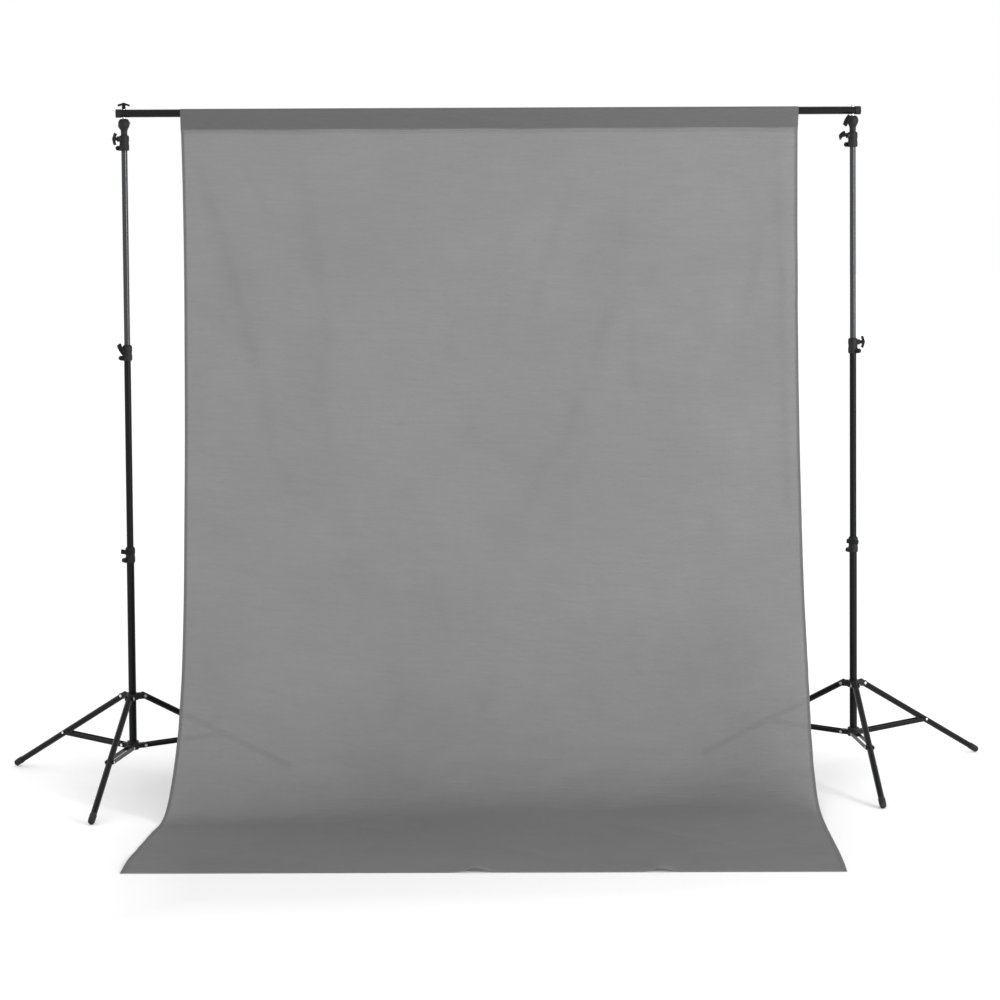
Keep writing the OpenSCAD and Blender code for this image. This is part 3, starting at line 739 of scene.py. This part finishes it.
for s in STANDS:
    for level, knob_turn in zip(LEVELS, KNOB_TURN[s]):
        low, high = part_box(f"{s}_{level}_collar")
        tube_low, tube_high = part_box(f"{s}_{NEXT_TUBE[level]}_tube")
        tube_r = (tube_high.x - tube_low.x) / 2
        centre_z = (low.z + high.z) / 2
        a = math.radians(knob_turn + LUG_TURN)
        out_way = Vector((math.cos(a), math.sin(a), 0))
        across_way = Vector((-math.sin(a), math.cos(a), 0))
        at = Vector((AXIS[s].x, AXIS[s].y, centre_z - LUG_DROP)) + out_way * LUG_R
        bolt = Parts()
        turn = basis(across_way, out_way)
        bolt.lathe([(0, -0.0108), (0.0018, -0.0108), (0.0023, -0.0104), (0.0023, 0.0066),
                    (0, 0.0066)], turn, at, 20)
        bolt.lathe([(0, -LUG_HALF - 0.0036), (0.0036, -LUG_HALF - 0.0036),
                    (0.0046, -LUG_HALF - 0.0030), (0.0046, -LUG_HALF - 0.0004),
                    (0.0040, -LUG_HALF), (0, -LUG_HALF)], turn, at, 24, hexagon(0.0040))
        bolt.lathe([(0, LUG_HALF), (0.0050, LUG_HALF), (0.0052, LUG_HALF + 0.0008),
                    (0.0046, LUG_HALF + 0.0022), (0.0032, LUG_HALF + 0.0032),
                    (0.0019, LUG_HALF + 0.0034), (0.0017, LUG_HALF + 0.0018),
                    (0, LUG_HALF + 0.0018)], turn, at, 28)
        bolt.made(f"{s}_{level}_clamp_bolt", "brace_paint", f"{s}_{CLAMP_BODY[level]}", 40)
        lip = Parts()
        lip.ring(tube_r + 0.00015, tube_r + 0.0024, high.z, high.z + 0.0016, 0.0005, None,
                 (AXIS[s].x, AXIS[s].y, 0))
        lip.ring(tube_r + 0.00015, tube_r + 0.0012, high.z + 0.0016, high.z + 0.0026, 0.0003, None,
                 (AXIS[s].x, AXIS[s].y, 0))
        lip.made(f"{s}_{level}_bushing", "black_plastic", f"{s}_{CLAMP_BODY[level]}", 40)


# ---------------------------------------------------------------- leg ends, foot ribs, rivet caps

def leg_frame(s, leg):
    """A point at the leg's pivot, its way down the leg, and the level way across it."""
    a = math.radians(LEGS[s][leg])
    out_way = Vector((math.cos(a), math.sin(a), 0))
    pivot = Vector((AXIS[s].x, AXIS[s].y, 0)) + out_way * LEG_PIVOT[0] + Vector((0, 0, LEG_PIVOT[1]))
    foot = Vector((AXIS[s].x, AXIS[s].y, 0)) + out_way * FOOT[0] + Vector((0, 0, FOOT[1]))
    return pivot, (foot - pivot).normalized(), Vector((-math.sin(a), math.cos(a), 0))


for s in STANDS:
    for leg in LEGS[s]:
        pivot, way, across_way = leg_frame(s, leg)
        turn = basis(-way, across_way)
        plug = Parts()
        plug.lathe([(0, -0.012), (0.0075, -0.012), (0.0075, 0.0078), (0.0089, 0.0081),
                    (0.0088, 0.0095), (0.0074, 0.0112), (0.0044, 0.0121), (0, 0.0124)],
                   turn, pivot, 32)
        plug.made(f"{s}_{leg}_leg_plug", "black_plastic", f"{s}_{leg}_leg_body", 45)
        ribs = Parts()
        end = pivot + way * LEG_LEN
        for k in range(4):
            z = 0.0065 + 0.0052 * k
            ribs.ring(0.0094, 0.0102, z - 0.0011, z + 0.0011, 0.0004, turn, end, 36)
        ribs.made(f"{s}_{leg}_foot_ribs", "rubber", f"{s}_{leg}_leg_body", 45)
        caps = Parts()
        joint = pivot + way * BRACE_AT
        head_top = LEG_R + 0.0042
        for side in (1, -1):
            caps.lathe([(0, -0.0002), (0.0042, -0.0002), (0.0041, 0.0004), (0.0032, 0.0011),
                        (0.0016, 0.0014), (0, 0.0015)], basis(across_way * side, way),
                       joint + across_way * (side * head_top), 24)
        caps.made(f"{s}_{leg}_rivet_caps", "bright_steel", f"{s}_{leg}_brace_body", 45)


# ---------------------------------------------------------------- stud thread

STUD_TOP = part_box("right_stud")[1].z
THREAD_TURNS, THREAD_PITCH, THREAD_LEN = 4, 0.00095, 0.0044
THREAD_ROOT, THREAD_FLANK, THREAD_CREST, THREAD_HALF = 0.00375, 0.00395, 0.00430, 0.00038
PER_TURN, RUN_OUT = 20, 8


def stud_thread():
    """A three-sided ridge wound up the stud, which fades out at both ends."""
    steps = PER_TURN * THREAD_TURNS
    verts, faces = [], []
    for i in range(steps + 1):
        a = 2 * math.pi * i / PER_TURN
        z = STUD_TOP - THREAD_LEN + THREAD_PITCH * i / PER_TURN
        fade = min(1.0, i / RUN_OUT, (steps - i) / RUN_OUT)
        crest = THREAD_FLANK + (THREAD_CREST - THREAD_FLANK) * fade
        for r, dz in ((THREAD_ROOT, -THREAD_HALF), (crest, 0.0), (THREAD_ROOT, THREAD_HALF)):
            verts.append((AXIS["right"].x + r * math.cos(a), AXIS["right"].y + r * math.sin(a), z + dz))
    for i in range(steps):
        for k in range(3):
            m = (k + 1) % 3
            faces.append((i * 3 + k, (i + 1) * 3 + k, (i + 1) * 3 + m, i * 3 + m))
    faces += [(0, 1, 2), (steps * 3 + 2, steps * 3 + 1, steps * 3)]
    mesh_object("right_stud_thread", verts, faces, "bright_steel", "right_top")


stud_thread()


# ---------------------------------------------------------------- stage, light and camera

def stage_floor():
    mesh = bpy.data.meshes.new("studio_floor")
    size, z = 150.0, -0.0006
    mesh.from_pydata([(-size, -size, z), (size, -size, z), (size, size, z), (-size, size, z)], [],
                     [(0, 1, 2, 3)])
    floor = bpy.data.objects.new("studio_floor", mesh)
    bpy.context.scene.collection.objects.link(floor)
    mat, tree, bsdf, _ = new_material("pale_floor")
    bsdf.inputs["Base Color"].default_value = (0.86, 0.86, 0.86, 1)
    bsdf.inputs["Roughness"].default_value = 0.9
    bsdf.inputs["Specular IOR Level"].default_value = 0.1
    # The floor glows away from the cloth: painted light that whitens its shadows and the far floor
    bsdf.inputs["Emission Color"].default_value = (1, 1, 1, 1)
    apart = node(tree, "ShaderNodeSeparateXYZ")
    tree.links.new(coords(tree), apart.inputs[0])
    aside = add(tree, add(tree, apart.outputs["X"], 0.0, "ABSOLUTE"), 1.0, "SUBTRACT")
    beyond = add(tree, add(tree, add(tree, apart.outputs["Y"], 0.25), 0.0, "ABSOLUTE"), 0.75, "SUBTRACT")
    clear_of_cloth = add(tree, aside, beyond, "MAXIMUM")
    tree.links.new(remap(tree, clear_of_cloth, -0.15, 0.35, 0.0, 0.22), bsdf.inputs["Emission Strength"])
    mesh.materials.append(mat)


def softbox(name, at, target, size, power):
    light = bpy.data.lights.new(name, "AREA")
    light.shape = "RECTANGLE"
    light.size, light.size_y = size
    light.energy = power
    obj = bpy.data.objects.new(name, light)
    obj.location = at
    obj.rotation_mode = "QUATERNION"
    obj.rotation_quaternion = (Vector(target) - Vector(at)).to_track_quat("-Z", "Y")
    bpy.context.scene.collection.objects.link(obj)


stage_floor()
world = bpy.data.worlds.new("studio")
bpy.context.scene.world = world
world.use_nodes = True
world.node_tree.nodes["Background"].inputs["Color"].default_value = (1, 1, 1, 1)
world.node_tree.nodes["Background"].inputs["Strength"].default_value = 1.0
softbox("softbox", (4.4, -4.0, 2.1), (0, 0.2, 1.0), (1.0, 2.0), 205)
bpy.context.scene.view_settings.view_transform = "Standard"

CAMERA_AT = (-0.3899, -6.5859, 1.5687)
YAW, PITCH, ROLL = math.radians(3.160), math.radians(2.566), math.radians(-0.445)
camera_data = bpy.data.cameras.new("camera")
camera = bpy.data.objects.new("camera", camera_data)
bpy.context.scene.collection.objects.link(camera)
ahead = Vector((math.sin(YAW) * math.cos(PITCH), math.cos(YAW) * math.cos(PITCH), -math.sin(PITCH)))
level = Vector((math.cos(YAW), -math.sin(YAW), 0))
upward = level.cross(ahead)
right_way = level * math.cos(ROLL) + upward * math.sin(ROLL)
up_way = upward * math.cos(ROLL) - level * math.sin(ROLL)
pose = Matrix((right_way, up_way, -ahead)).transposed().to_4x4()
pose.translation = Vector(CAMERA_AT)
camera.matrix_world = pose
camera_data.sensor_width = 36.0
camera_data.lens = 84.99
camera_data.shift_y = -0.1406
camera_data.clip_start, camera_data.clip_end = 0.1, 200.0
bpy.context.scene.camera = camera
